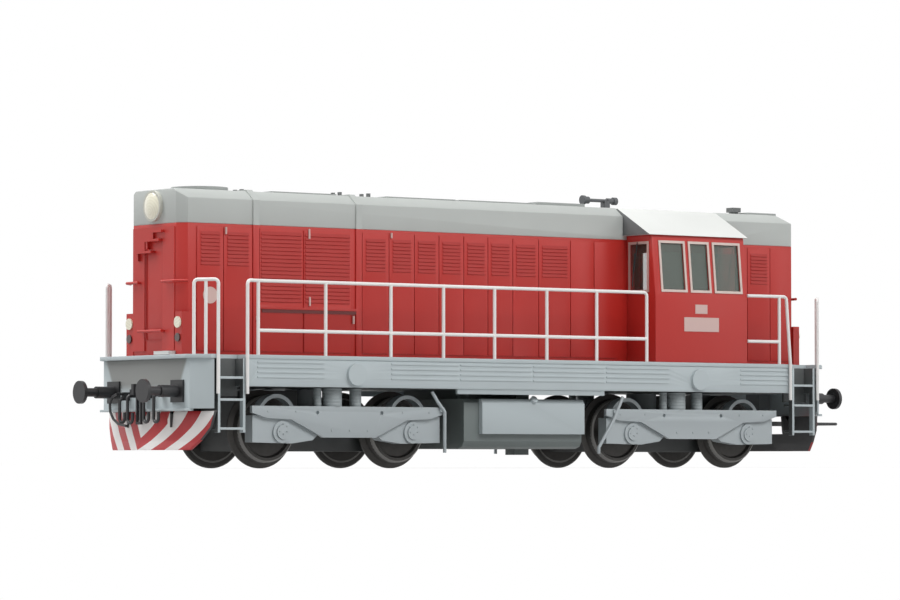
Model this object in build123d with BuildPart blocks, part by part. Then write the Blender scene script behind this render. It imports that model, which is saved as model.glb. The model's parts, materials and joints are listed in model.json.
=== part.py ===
"""H0 scale model of a four-axle diesel locomotive with an off-centre cab.

Frame: +X towards the cab end, +Y towards the right side (facing the long hood's end, which is -X),
+Z up. The origin is midway between the buffer faces, on the centre line, at the level the wheel
flanges stand on. Sizes are millimetres of the model. full() turns a size of the full-size machine
into a size of the model, and up() turns a height above the rail head into a height of the model.
"""
from build123d import *
import math
import os

SCALE = 87.0


def full(size):
    """A full-size millimetre at the model's scale."""
    return size / SCALE


# Wheels, to the model track's own standard
FLANGE_HEIGHT = 1.0
TREAD_RADIUS = full(500)
WHEEL_BACK = 7.15          # centre line to the back of a wheel
WHEEL_WIDTH = 2.8
FLANGE_WIDTH = 0.9
AXLE_RADIUS = 1.0
RUNNING_GAP = 0.05         # radial play of an axle in its bore
AXLE_HEIGHT = FLANGE_HEIGHT + TREAD_RADIUS


def up(height):
    """A full-size height above the rail head, as a height above the flanges' bottom."""
    return FLANGE_HEIGHT + full(height)


# Lengths along X, from the middle
BUFFER_FACE = full(6770)
HEADSTOCK_X = full(6140)
PIVOT_X = full(3350)
HALF_WHEELBASE = full(1200)
HOOD_FRONT = -full(5998)
HOOD_REAR = full(5962)
CAB_FRONT = full(2480)
CAB_REAR = full(4387)
CAB_ROOF_X = (full(2400), full(4450))

# Half widths along Y
FRAME_HALF = full(1445)
HEADSTOCK_HALF = full(1183)
UNDERFRAME_HALF = full(1140)
HOOD_HALF = full(715)
CAB_HALF = full(1430)

# Heights
SILL_BOTTOM = up(1124)
HEADSTOCK_BOTTOM = up(793)
DECK_TOP = up(1590)
DECK_THICK = full(60)
DECK_BOTTOM = DECK_TOP - DECK_THICK
BAND_BOTTOM = up(3550)
CAB_EAVE = up(3612)
HOOD_SHOULDER = up(3925)
HOOD_TOP = up(4065)
BUFFER_HEIGHT = up(1050)
RAIL_TOP_HEIGHT = up(2683)
RAIL_MID_HEIGHT = up(1950)

# Walls of the moulded shells, and common thicknesses
SHELL = 1.0
PLATE = 0.8
RELIEF = 0.2               # how far a door or frame stands out of its wall
DOOR_GAP = 0.14
RAIL_RADIUS = 0.3
PANE = 0.5
PANE_GAP = 0.03            # play of a lens or pane in its seat

SIDES = {"left": -1, "right": 1}
ENDS = {"front": -1, "rear": 1}


def box(x, y, z, mode=Mode.ADD):
    """A block in the part being built, from its two limits along X, Y and Z."""
    with Locations(((x[0] + x[1]) / 2, (y[0] + y[1]) / 2, (z[0] + z[1]) / 2)):
        Box(abs(x[1] - x[0]), abs(y[1] - y[0]), abs(z[1] - z[0]), mode=mode)


def rod(start, end, radius, mode=Mode.ADD):
    """A round bar in the part being built, from one point to another."""
    a, b = Vector(*start), Vector(*end)
    with Locations(Plane(origin=a, z_dir=b - a).location):
        Cylinder(radius, (b - a).length, align=(Align.CENTER, Align.CENTER, Align.MIN), mode=mode)


def prism_x(points, x, mode=Mode.ADD):
    """A (y, z) outline pushed from x[0] to x[1]."""
    with BuildSketch(Plane.YZ.offset(min(x))) as outline:
        with BuildLine():
            Polyline(*points, close=True)
        make_face()
    extrude(outline.sketch, amount=abs(x[1] - x[0]), mode=mode)


def prism_y(points, y, mode=Mode.ADD):
    """An (x, z) outline pushed from y[0] to y[1]."""
    with BuildSketch(Plane.XZ.offset(-max(y))) as outline:
        with BuildLine():
            Polyline(*points, close=True)
        make_face()
    extrude(outline.sketch, amount=abs(y[1] - y[0]), mode=mode)


def prism_z(points, z, mode=Mode.ADD):
    """An (x, y) outline pushed from z[0] to z[1]."""
    with BuildSketch(Plane.XY.offset(min(z))) as outline:
        with BuildLine():
            Polyline(*points, close=True)
        make_face()
    extrude(outline.sketch, amount=abs(z[1] - z[0]), mode=mode)


def tube(points, radii, radius):
    """A bent bar through the points, with an arc of its own radius at each corner between."""
    with BuildLine() as route:
        FilletPolyline(*points, radius=radii)
    with BuildSketch(Plane(origin=route.line @ 0, z_dir=route.line % 0)) as bar:
        Circle(radius)
    sweep(bar.sketch, path=route.line)


os.makedirs("parts", exist_ok=True)


def finish(part, name):
    """Labels a finished piece and writes its file."""
    part.label = name
    export_step(part, f"parts/{name}.step")


# The cast underframe: a deep slab under the deck
UNDERFRAME_X = full(5960)

with BuildPart() as underframe:
    box((-UNDERFRAME_X, UNDERFRAME_X), (-UNDERFRAME_HALF, UNDERFRAME_HALF), (SILL_BOTTOM, DECK_BOTTOM))
finish(underframe.part, "underframe")


# Pivot pins below it, one for each bogie
PIVOT_PIN_RADIUS = 1.6
PIVOT_PIN_BOTTOM = up(760)
with BuildPart() as pivot_pins:
    for end in ENDS.values():
        rod((end * PIVOT_X, 0, SILL_BOTTOM), (end * PIVOT_X, 0, PIVOT_PIN_BOTTOM), PIVOT_PIN_RADIUS)
finish(pivot_pins.part, "pivot_pins")


# The deck plate, its corners cut at 45 degrees, with a well cut in over each ladder
DECK_END_LIP = full(70)
DECK_SIDE_LIP = full(15)
LADDER_X = (full(5331), full(5815))
WELL_DEPTH = full(215)
WELL_INNER = FRAME_HALF - WELL_DEPTH


def deck_outline():
    """Corners of the deck in plan, a lip outside the plates below it."""
    corner = FRAME_HALF - HEADSTOCK_HALF
    x_out, y_out = HEADSTOCK_X + DECK_END_LIP, FRAME_HALF + DECK_SIDE_LIP
    quarter = [(x_out, HEADSTOCK_HALF), (HEADSTOCK_X - corner + DECK_END_LIP, y_out)]
    return (quarter + [(-x, y) for x, y in reversed(quarter)]
            + [(-x, -y) for x, y in quarter] + [(x, -y) for x, y in reversed(quarter)])


with BuildPart() as deck:
    prism_z(deck_outline(), (DECK_BOTTOM, DECK_TOP))
    for end in ENDS.values():
        for side in SIDES.values():
            box((end * LADDER_X[0], end * LADDER_X[1]), (side * WELL_INNER, side * (FRAME_HALF + 1)),
                (DECK_BOTTOM, DECK_TOP), Mode.SUBTRACT)
finish(deck.part, "deck")


# Headstocks: a front plate with its ends turned back at 45 degrees, and a flange along its foot
HEADSTOCK_FLANGE = full(35)


def headstock_outline(end):
    """Plan of one headstock plate, bent back at both ends."""
    corner = FRAME_HALF - HEADSTOCK_HALF
    back = PLATE * math.tan(math.radians(22.5))
    skew = PLATE * math.sqrt(2)
    outer = [(HEADSTOCK_X - corner, FRAME_HALF), (HEADSTOCK_X, HEADSTOCK_HALF)]
    inner = [(HEADSTOCK_X - PLATE, HEADSTOCK_HALF - back), (HEADSTOCK_X - corner, FRAME_HALF - skew)]
    half = outer + inner
    return [(end * x, y) for x, y in outer + [(x, -y) for x, y in reversed(outer)]
            + [(x, -y) for x, y in reversed(inner)] + inner]


for end_name, end in ENDS.items():
    with BuildPart() as headstock:
        prism_z(headstock_outline(end), (HEADSTOCK_BOTTOM, DECK_BOTTOM))
        box((end * (HEADSTOCK_X - PLATE), end * (HEADSTOCK_X + DECK_END_LIP)),
            (-HEADSTOCK_HALF, HEADSTOCK_HALF), (HEADSTOCK_BOTTOM - HEADSTOCK_FLANGE, HEADSTOCK_BOTTOM))
        box((end * UNDERFRAME_X, end * (HEADSTOCK_X - PLATE)),
            (-full(700), full(700)), (SILL_BOTTOM, DECK_BOTTOM))
    finish(headstock.part, f"headstock_{end_name}")


# Side sills: long plates under the deck's edge, pressed with lengthwise ribs between plain bays
SILL_X = full(5315)
SILL_THICK = full(70)
SILL_RIBS = [up(height) for height in (1261, 1335, 1409, 1482)]
RIB_HEIGHT = full(26)
RIB_DEPTH = full(12)
BOSS_RADIUS = full(165)
BOSS_DEPTH = full(60)
BOSS_HEIGHT = up(1315)
# from, to, in full-size millimetres along X
RIBBED_BAYS = [(-5122, -3919), (-2688, -1427), (-1387, -20), (20, 1426), (1466, 2739), (4224, 5267)]
HANGER_X = (full(-1427), full(1446))
HANGER_BOTTOM = up(1045)

for side_name, side in SIDES.items():
    with BuildPart() as sill:
        face = side * FRAME_HALF
        box((-SILL_X, SILL_X), (side * (FRAME_HALF - SILL_THICK), face), (SILL_BOTTOM, DECK_BOTTOM))
        box(HANGER_X, (side * (FRAME_HALF - SILL_THICK), side * (FRAME_HALF - full(20))),
            (HANGER_BOTTOM, SILL_BOTTOM))
        for bay in RIBBED_BAYS:
            for rib in SILL_RIBS:
                box((full(bay[0]), full(bay[1])), (face, face + side * RIB_DEPTH),
                    (rib - RIB_HEIGHT / 2, rib + RIB_HEIGHT / 2))
        for end in ENDS.values():
            rod((end * PIVOT_X, face, BOSS_HEIGHT), (end * PIVOT_X, face + side * BOSS_DEPTH, BOSS_HEIGHT),
                BOSS_RADIUS)
    finish(sill.part, f"side_sill_{side_name}")


# The long hood: a red shell with cut front corners, closed by the grey roof above it
HOOD_FLAT_HALF = full(583)
HOOD_CORNER = full(130)


def long_hood_outline(inset):
    """Plan of the long hood, with its front corners cut, drawn in by a wall."""
    front, side = HOOD_FRONT + inset, HOOD_HALF - inset
    flat, corner = HOOD_FLAT_HALF - inset * 0.4, HOOD_FRONT + HOOD_CORNER + inset * 0.6
    half = [(front, flat), (corner, side), (CAB_FRONT, side)]
    return half + [(x, -y) for x, y in reversed(half)]


with BuildPart() as long_hood:
    prism_z(long_hood_outline(0), (DECK_TOP, BAND_BOTTOM))
    prism_z(long_hood_outline(SHELL), (DECK_TOP, BAND_BOTTOM), Mode.SUBTRACT)
finish(long_hood.part, "long_hood")


# The short hood behind the cab
with BuildPart() as short_hood:
    box((CAB_REAR, HOOD_REAR), (-HOOD_HALF, HOOD_HALF), (DECK_TOP, BAND_BOTTOM))
    box((CAB_REAR, HOOD_REAR - SHELL), (-HOOD_HALF + SHELL, HOOD_HALF - SHELL),
        (DECK_TOP, BAND_BOTTOM), Mode.SUBTRACT)
finish(short_hood.part, "short_hood")


# Roofs of both hoods: an upright band, a sloping shoulder and a flat top
RIDGE_HALF = full(525)


def roof_section(inset):
    """Half of the hood roof's section and its mirror, drawn in by a wall."""
    side, ridge = HOOD_HALF - inset, RIDGE_HALF - inset * 0.35
    half = [(side, BAND_BOTTOM), (side, HOOD_SHOULDER - inset * 0.3), (ridge, HOOD_TOP - inset)]
    return half + [(-y, z) for y, z in reversed(half)]


with BuildPart() as long_roof:
    prism_x(roof_section(0), (HOOD_FRONT, CAB_FRONT))
    prism_x(roof_section(SHELL), (HOOD_FRONT + SHELL, CAB_FRONT), Mode.SUBTRACT)
    box((CAB_ROOF_X[0], CAB_FRONT), (-HOOD_HALF, HOOD_HALF), (CAB_EAVE, HOOD_TOP), Mode.SUBTRACT)
    for side in SIDES.values():
        with BuildSketch(Plane.XY.offset(BAND_BOTTOM)):
            with BuildLine():
                Polyline((HOOD_FRONT - 1, side * (HOOD_FLAT_HALF - 1 * (HOOD_HALF - HOOD_FLAT_HALF) / HOOD_CORNER)),
                         (HOOD_FRONT + HOOD_CORNER, side * HOOD_HALF),
                         (HOOD_FRONT + HOOD_CORNER, side * (HOOD_HALF + 1)),
                         (HOOD_FRONT - 1, side * (HOOD_HALF + 1)), close=True)
            make_face()
        extrude(amount=HOOD_TOP - BAND_BOTTOM + 1, mode=Mode.SUBTRACT)
finish(long_roof.part, "long_hood_roof")

REAR_HIP = full(180)
with BuildPart() as short_roof:
    prism_x(roof_section(0), (CAB_REAR, HOOD_REAR))
    prism_x(roof_section(SHELL), (CAB_REAR, HOOD_REAR - SHELL), Mode.SUBTRACT)
    box((CAB_REAR, CAB_ROOF_X[1]), (-HOOD_HALF, HOOD_HALF), (CAB_EAVE, HOOD_TOP), Mode.SUBTRACT)
    prism_y([(HOOD_REAR - REAR_HIP, HOOD_TOP), (HOOD_REAR, HOOD_SHOULDER), (HOOD_REAR, HOOD_TOP)],
            (-HOOD_HALF, HOOD_HALF), Mode.SUBTRACT)
finish(short_roof.part, "short_hood_roof")


# Raised joint strips round the long hood, beside the big shutters
SEAM_STRIPS = [(-4720, -4611), (-2835, -2728)]      # from, to along X, full-size millimetres
STRIP_RELIEF = 0.25
with BuildPart() as strips:
    shell = roof_section(0)
    wrap = [(y + (STRIP_RELIEF if y > 0 else -STRIP_RELIEF), z) for y, z in shell[:2]]
    wrap = wrap + [(RIDGE_HALF + STRIP_RELIEF * 0.6, HOOD_TOP + STRIP_RELIEF)]
    wrap = wrap + [(-y, z) for y, z in reversed(wrap)]
    for start, stop in SEAM_STRIPS:
        prism_x(wrap, (full(start), full(stop)))
        prism_x(shell, (full(start), full(stop)), Mode.SUBTRACT)
finish(strips.part, "roof_joint_strips")


# Hood doors: thin raised panels, most with a block of slats near the top
DOOR_BOTTOM = up(1660)
DOOR_TOP = up(3500)
SLAT_DEPTH = 0.2
# from, to along X, louvre bottom, louvre top (0 for none), slat pitch; full-size millimetres
HOOD_DOORS = [
    (-5724, -5250, 2925, 3430, 56),
    (-5250, -4735, 2925, 3430, 56),
    (-4605, -3820, 2400, 3460, 60),
    (-3800, -2930, 2400, 3460, 60),
    (-2722, -2217, 2910, 3410, 56),
    (-2217, -1736, 2910, 3410, 56),
    (-1736, -1267, 2910, 3410, 56),
    (-1267, -789, 2910, 3410, 56),
    (-789, -319, 2910, 3410, 56),
    (-319, 169, 2910, 3410, 56),
    (169, 681, 2910, 3410, 56),
    (681, 1318, 2910, 3410, 56),
    (1318, 1795, 0, 0, 0),
    (1795, 2290, 0, 0, 0),
    (4450, 4991, 0, 0, 0),
    (4991, 5480, 2910, 3410, 56),
    (5480, 5930, 0, 0, 0),
]
SHUTTER_WIDTH = full(700)
SHUTTER_BOTTOM = up(2330)
LOUVRE_MARGIN = full(65)
SHUTTER_MARGIN = full(20)


def louvre_outline(face, outward, bottom, top, pitch):
    """Section of a block of slats standing on a face: each slat slopes out and drops back."""
    root = face - outward * RELIEF / 2
    points = [(root, bottom), (root, top), (face, top)]
    slats = max(1, round((top - bottom) / pitch))
    step = (top - bottom) / slats
    for slat in range(slats):
        points += [(face + outward * SLAT_DEPTH, top - (slat + 0.85) * step), (face, top - (slat + 0.95) * step)]
    return points


for side_name, side in SIDES.items():
    with BuildPart() as doors:
        wall, face = side * HOOD_HALF, side * (HOOD_HALF + RELIEF)
        for start, stop, low, high, pitch in HOOD_DOORS:
            span = (full(start) + DOOR_GAP / 2, full(stop) - DOOR_GAP / 2)
            wide = span[1] - span[0] > SHUTTER_WIDTH
            box(span, (wall, face), (SHUTTER_BOTTOM if wide else DOOR_BOTTOM, DOOR_TOP))
            if wide:
                box(span, (wall, face), (DOOR_BOTTOM, SHUTTER_BOTTOM - DOOR_GAP))
            if pitch:
                margin = SHUTTER_MARGIN if wide else LOUVRE_MARGIN
                slot = (span[0] + margin, span[1] - margin)
                prism_x(louvre_outline(face, side, up(low), up(high), full(pitch)), slot)
        box((full(-4611), full(-2835)), (wall, side * (HOOD_HALF + RELIEF + STRIP_RELIEF)),
            (SHUTTER_BOTTOM - full(35), SHUTTER_BOTTOM))
        for start, stop in SEAM_STRIPS:
            box((full(start), full(stop)), (wall, side * (HOOD_HALF + STRIP_RELIEF)), (DECK_TOP, BAND_BOTTOM))
    finish(doors.part, f"hood_doors_{side_name}")


# The cab: a hollow shell whose sides lean in above the waist, with its windows cut
CAB_WAIST = up(2640)
CAB_EAVE_HALF = full(1335)


def cab_section(inset, bottom, top):
    """Section of the cab across the frame, drawn in by a wall."""
    half = [(CAB_HALF - inset, bottom), (CAB_HALF - inset, CAB_WAIST), (CAB_EAVE_HALF - inset, top)]
    return half + [(-y, z) for y, z in reversed(half)]


# from, to along X; bottom and top heights: side windows, full-size millimetres
SIDE_WINDOWS = [(2640, 3100), (3245, 3600), (3745, 4250)]
WINDOW_BOTTOM = up(2745)
WINDOW_TOP = up(3485)
# inner and outer y of the windows in the end walls, beside the hoods
END_WINDOW_Y = (full(800), full(1225))
END_WINDOW_Z = (up(2740), up(3470))

with BuildPart() as cab:
    prism_x(cab_section(0, DECK_TOP, CAB_EAVE), (CAB_FRONT, CAB_REAR))
    prism_x(cab_section(SHELL, DECK_TOP, CAB_EAVE), (CAB_FRONT + SHELL, CAB_REAR - SHELL), Mode.SUBTRACT)
    for start, stop in SIDE_WINDOWS:
        box((full(start), full(stop)), (-CAB_HALF - 1, CAB_HALF + 1), (WINDOW_BOTTOM, WINDOW_TOP), Mode.SUBTRACT)
    for side in SIDES.values():
        for wall_x in (CAB_FRONT, CAB_REAR):
            box((wall_x - 2 * SHELL, wall_x + 2 * SHELL), (side * END_WINDOW_Y[0], side * END_WINDOW_Y[1]),
                END_WINDOW_Z, Mode.SUBTRACT)
finish(cab.part, "cab")


# The cab roof: two slopes and a nearly flat crown, overhanging the walls on all sides
ROOF_EAVE_HALF = full(1385)
ROOF_BREAK_HALF = full(577)
ROOF_BREAK = up(4052)
ROOF_FLAT_HALF = full(110)
ROOF_CROWN = up(4098)


def cab_roof_section():
    """Outer and inner line of the cab roof, as one closed band."""
    outer = [(ROOF_EAVE_HALF, CAB_EAVE), (ROOF_BREAK_HALF, ROOF_BREAK), (ROOF_FLAT_HALF, ROOF_CROWN)]
    inner = [(ROOF_EAVE_HALF - 1.6 * SHELL, CAB_EAVE), (ROOF_BREAK_HALF - SHELL * 0.3, ROOF_BREAK - SHELL),
             (ROOF_FLAT_HALF, ROOF_CROWN - SHELL)]
    return (outer + [(-y, z) for y, z in reversed(outer)]
            + [(-y, z) for y, z in inner] + list(reversed(inner)))


with BuildPart() as cab_roof:
    prism_x(cab_roof_section(), CAB_ROOF_X)
    inside = [(ROOF_EAVE_HALF - 1.6 * SHELL, CAB_EAVE), (ROOF_BREAK_HALF - SHELL * 0.3, ROOF_BREAK - SHELL),
              (ROOF_FLAT_HALF, ROOF_CROWN - SHELL)]
    section = inside + [(-y, z) for y, z in reversed(inside)]
    prism_x(section, (CAB_ROOF_X[0], CAB_FRONT + SHELL))
    prism_x(section, (CAB_REAR - SHELL, CAB_ROOF_X[1]))
finish(cab_roof.part, "cab_roof")


# Window panes, set in the openings
def lean(height):
    """Half width of the cab's side at a height above the waist."""
    share = (height - CAB_WAIST) / (CAB_EAVE - CAB_WAIST)
    return CAB_HALF + (CAB_EAVE_HALF - CAB_HALF) * max(0.0, share)


with BuildPart() as glazing:
    low, high = WINDOW_BOTTOM + PANE_GAP, WINDOW_TOP - PANE_GAP
    for side in SIDES.values():
        section = [(side * (lean(low) - 0.2), low), (side * (lean(high) - 0.2), high),
                   (side * (lean(high) - 0.2 - PANE), high), (side * (lean(low) - 0.2 - PANE), low)]
        for start, stop in SIDE_WINDOWS:
            prism_x(section, (full(start) + PANE_GAP, full(stop) - PANE_GAP))
        for wall_x, inward in ((CAB_FRONT, 1), (CAB_REAR, -1)):
            box((wall_x + inward * 0.2, wall_x + inward * (0.2 + PANE)),
                (side * (END_WINDOW_Y[0] + PANE_GAP), side * (END_WINDOW_Y[1] - PANE_GAP)),
                (END_WINDOW_Z[0] + PANE_GAP, END_WINDOW_Z[1] - PANE_GAP))
finish(glazing.part, "cab_glazing")


# Bright window frames, proud of the wall round each opening
FRAME_WIDTH = full(40)
FRAME_RELIEF = 0.15

with BuildPart() as window_frames:
    low, high = WINDOW_BOTTOM - FRAME_WIDTH, WINDOW_TOP + FRAME_WIDTH
    for side in SIDES.values():
        band = [(side * lean(low), low), (side * lean(high), high),
                (side * (lean(high) + FRAME_RELIEF), high), (side * (lean(low) + FRAME_RELIEF), low)]
        for start, stop in SIDE_WINDOWS:
            prism_x(band, (full(start) - FRAME_WIDTH, full(stop) + FRAME_WIDTH))
            box((full(start), full(stop)), (side * (CAB_HALF - 2), side * (CAB_HALF + 2)),
                (WINDOW_BOTTOM, WINDOW_TOP), Mode.SUBTRACT)
        for wall_x, outward in ((CAB_FRONT, -1), (CAB_REAR, 1)):
            box((wall_x, wall_x + outward * FRAME_RELIEF),
                (side * (END_WINDOW_Y[0] - FRAME_WIDTH), side * (END_WINDOW_Y[1] + FRAME_WIDTH)),
                (END_WINDOW_Z[0] - FRAME_WIDTH, END_WINDOW_Z[1] + FRAME_WIDTH))
            box((wall_x, wall_x + outward * FRAME_RELIEF), (side * END_WINDOW_Y[0], side * END_WINDOW_Y[1]),
                END_WINDOW_Z, Mode.SUBTRACT)
finish(window_frames.part, "window_frames")


# Inside the cab: a floor, a driver's desk at each side and two seats
CAB_FLOOR = full(60)
with BuildPart() as interior:
    inner_x = (CAB_FRONT + SHELL, CAB_REAR - SHELL)
    box(inner_x, (-CAB_HALF + SHELL, CAB_HALF - SHELL), (DECK_TOP, DECK_TOP + CAB_FLOOR))
    for side in SIDES.values():
        box((full(2900), full(3850)), (side * full(500), side * full(1150)), (DECK_TOP, up(2640)))
        box((full(3000), full(3400)), (side * full(80), side * full(420)), (DECK_TOP, up(2250)))
finish(interior.part, "cab_interior")


# The motor and ballast, one plain block inside the long hood
with BuildPart() as motor:
    box((full(-5400), full(2100)), (-full(560), full(560)), (DECK_TOP, up(3380)))
finish(motor.part, "motor_block")


# Ends of both hoods: door frames, two foot brackets below the front lamp, and grab rails
GRAB_HEIGHT = up(2685)
GRAB_RADIUS = 0.25
GRAB_REACH = full(62)
GRAB_BEND = {"front": (full(640), full(165)), "rear": (full(730), full(55))}   # half of its straight, set-back
# across y from, to; height; reach: the foot brackets, full-size millimetres
FOOT_BRACKETS = [(-30, 400, 3118, 70), (-230, 150, 3290, 60), (-290, 0, 3420, 55)]
DOOR_FRAME_HALF = full(245)
for end_name, face_x, end in (("front", HOOD_FRONT, -1), ("rear", HOOD_REAR, 1)):
    with BuildPart() as fittings:
        outer = face_x + end * RELIEF
        for side in SIDES.values():
            box((face_x, outer), (side * DOOR_FRAME_HALF, side * (HOOD_FLAT_HALF - 0.2)), (DOOR_BOTTOM, DOOR_TOP))
        box((face_x, outer), (-DOOR_FRAME_HALF, DOOR_FRAME_HALF), (up(3330), DOOR_TOP))
        if end < 0:
            for y_from, y_to, height, reach in FOOT_BRACKETS:
                box((face_x, outer + end * full(reach)), (full(y_from), full(y_to)),
                    (up(height), up(height + 36)))
                box((face_x, outer + end * full(reach * 0.6)), (full(y_to - 36), full(y_to)),
                    (up(height - 110), up(height)))
        for side in SIDES.values():
            rail_x = outer + end * GRAB_REACH
            straight, back = GRAB_BEND[end_name]
            tube([(rail_x, side * full(320), GRAB_HEIGHT), (rail_x, side * straight, GRAB_HEIGHT),
                  (rail_x - end * back, side * full(790), GRAB_HEIGHT)], full(30), GRAB_RADIUS)
            for foot in (360, 500):
                rod((face_x, side * full(foot), GRAB_HEIGHT), (rail_x, side * full(foot), GRAB_HEIGHT),
                    GRAB_RADIUS * 0.8)
        rod((outer + end * GRAB_REACH, -full(330), up(1955)), (outer + end * GRAB_REACH, full(330), up(1955)),
            GRAB_RADIUS)
        for foot in (-290, 290):
            rod((face_x, full(foot), up(1955)), (outer + end * GRAB_REACH, full(foot), up(1955)),
                GRAB_RADIUS * 0.8)
    finish(fittings.part, f"hood_fittings_{end_name}")


# Head lamps high on each hood end, and a pair of small lamps one above the other at each corner
LAMP_HEIGHT = up(3818)
LAMP_RADIUS = full(232)
LENS_RADIUS = full(202)
LAMP_DEPTH = full(55)
LENS_BACK = full(20)
MARKER_Y = full(665)
MARKER_HALF = full(95)
MARKER_TOP = up(2232)
# height, radius: the two lenses of each corner box, full-size millimetres
MARKER_LENSES = [(2075, 85), (1850, 64)]
LENS_OUT = full(22)
MARKER_FACE = {"front": HOOD_FRONT - full(8), "rear": HOOD_REAR + full(125)}

with BuildPart() as lamp_rims:
    for face_x, end in ((HOOD_FRONT, -1), (HOOD_REAR, 1)):
        rod((face_x, 0, LAMP_HEIGHT), (face_x + end * LAMP_DEPTH, 0, LAMP_HEIGHT), LAMP_RADIUS)
        rod((face_x + end * LENS_BACK, 0, LAMP_HEIGHT), (face_x + end * LAMP_DEPTH, 0, LAMP_HEIGHT), LENS_RADIUS,
            Mode.SUBTRACT)
finish(lamp_rims.part, "headlamp_rims")

with BuildPart() as markers:
    for end_name, end in ENDS.items():
        face_x = MARKER_FACE[end_name]
        for side in SIDES.values():
            back = HOOD_FRONT + HOOD_CORNER + full(30) if end < 0 else HOOD_REAR
            box((back, face_x), (side * (MARKER_Y - MARKER_HALF), side * (MARKER_Y + MARKER_HALF)),
                (DECK_TOP, MARKER_TOP))
    prism_z(long_hood_outline(0), (DECK_TOP, MARKER_TOP), Mode.SUBTRACT)
    for side in SIDES.values():
        box((HOOD_FRONT + HOOD_CORNER, HOOD_FRONT + full(400)), (side * HOOD_HALF, side * (HOOD_HALF + RELIEF)),
            (DECK_TOP, MARKER_TOP), Mode.SUBTRACT)
finish(markers.part, "marker_lamps")

with BuildPart() as lenses:
    for face_x, end in ((HOOD_FRONT, -1), (HOOD_REAR, 1)):
        with BuildSketch(Plane(origin=(face_x, 0, LAMP_HEIGHT), x_dir=(end, 0, 0), z_dir=(0, -end, 0))) as bulge:
            with BuildLine():
                Polyline((LAMP_DEPTH, LENS_RADIUS - PANE_GAP), (LENS_BACK, LENS_RADIUS - PANE_GAP), (LENS_BACK, 0),
                         (LAMP_DEPTH + full(45), 0))
                ThreePointArc((LAMP_DEPTH + full(45), 0), (LAMP_DEPTH + full(33), LENS_RADIUS * 0.52),
                              (LAMP_DEPTH, LENS_RADIUS - PANE_GAP))
            make_face()
        revolve(bulge.sketch, axis=Axis((face_x, 0, LAMP_HEIGHT), (1, 0, 0)), revolution_arc=360)
    for end_name, end in ENDS.items():
        for side in SIDES.values():
            for height, radius in MARKER_LENSES:
                rod((MARKER_FACE[end_name], side * MARKER_Y, up(height)),
                    (MARKER_FACE[end_name] + end * LENS_OUT, side * MARKER_Y, up(height)), full(radius))
finish(lenses.part, "lamp_lenses")


# Roof fittings: the cooling fan's grille, hatches, lifting lugs, horns and the rear vent
FAN_X = full(-5200)
FAN_RADIUS = full(430)
with BuildPart() as fan_grille:
    with Locations((FAN_X, 0, HOOD_TOP)):
        Cylinder(FAN_RADIUS, full(60), align=(Align.CENTER, Align.CENTER, Align.MIN))
        Cylinder(FAN_RADIUS - full(45), full(60), align=(Align.CENTER, Align.CENTER, Align.MIN), mode=Mode.SUBTRACT)
        Cylinder(full(80), full(55), align=(Align.CENTER, Align.CENTER, Align.MIN))
    for angle in range(0, 180, 30):
        with Locations((FAN_X, 0, HOOD_TOP + full(25))):
            with Locations(Rotation(0, 0, angle)):
                Box(2 * FAN_RADIUS - full(60), full(28), full(30))
finish(fan_grille.part, "fan_grille")

# x from, to, half width, height of each hatch, full-size millimetres
ROOF_HATCHES = [(-4150, -2950, 380, 30), (-2030, -700, 400, 30), (-600, 850, 400, 30), (1000, 1950, 300, 62),
                (5290, 5900, 400, 40)]
with BuildPart() as hatches:
    for start, stop, half, height in ROOF_HATCHES:
        box((full(start), full(stop)), (-full(half), full(half)), (HOOD_TOP, HOOD_TOP + full(height)))
finish(hatches.part, "roof_hatches")

# x, y, across x, height of each lifting lug, and the rear vent; full-size millimetres
LIFTING_LUGS = [(-4500, 60, 40, 60), (-2690, 60, 40, 85), (-2150, 60, 40, 85)]
with BuildPart() as lugs:
    for x, y, wide, height in LIFTING_LUGS:
        for side in SIDES.values():
            box((full(x - wide / 2), full(x + wide / 2)), (side * full(y), side * full(y + 60)),
                (HOOD_TOP, HOOD_TOP + full(height)))
    box((full(5130), full(5220)), (-full(235), -full(115)), (HOOD_TOP, HOOD_TOP + full(45)))
    box((full(5090), full(5260)), (-full(260), -full(90)), (HOOD_TOP + full(45), HOOD_TOP + full(120)))
finish(lugs.part, "roof_lugs_and_vent")

# from, to along X, and radius of each length of the two horns' pipe, full-size millimetres
HORN_HEIGHT = up(4215)
HORN_STEPS = [(2130, 2175, 75), (2175, 2260, 58), (2260, 2640, 28), (2640, 2760, 45), (2760, 2830, 62)]
with BuildPart() as horns:
    box((full(2560), full(2660)), (-full(60), full(60)), (ROOF_CROWN, HORN_HEIGHT))
    for start, stop, radius in HORN_STEPS:
        rod((full(start), 0, HORN_HEIGHT), (full(stop), 0, HORN_HEIGHT), full(radius))
finish(horns.part, "horns")


# Buffers: a base plate, sleeve, plunger and a round head each
BUFFER_Y = full(875)
HEAD_RADIUS = full(172)
HEAD_THICK = full(55)
SLEEVE_END = full(6470)
BUFFER_BASE = full(30)
with BuildPart() as buffers:
    for end in ENDS.values():
        for side in SIDES.values():
            y = side * BUFFER_Y
            base = HEADSTOCK_X + BUFFER_BASE
            box((end * HEADSTOCK_X, end * base), (y - full(165), y + full(165)),
                (BUFFER_HEIGHT - full(165), BUFFER_HEIGHT + full(165)))
            rod((end * base, y, BUFFER_HEIGHT), (end * SLEEVE_END, y, BUFFER_HEIGHT), full(90))
            rod((end * SLEEVE_END, y, BUFFER_HEIGHT), (end * (BUFFER_FACE - HEAD_THICK), y, BUFFER_HEIGHT), full(66))
            rod((end * (BUFFER_FACE - HEAD_THICK), y, BUFFER_HEIGHT), (end * BUFFER_FACE, y, BUFFER_HEIGHT),
                HEAD_RADIUS)
finish(buffers.part, "buffers")


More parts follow.
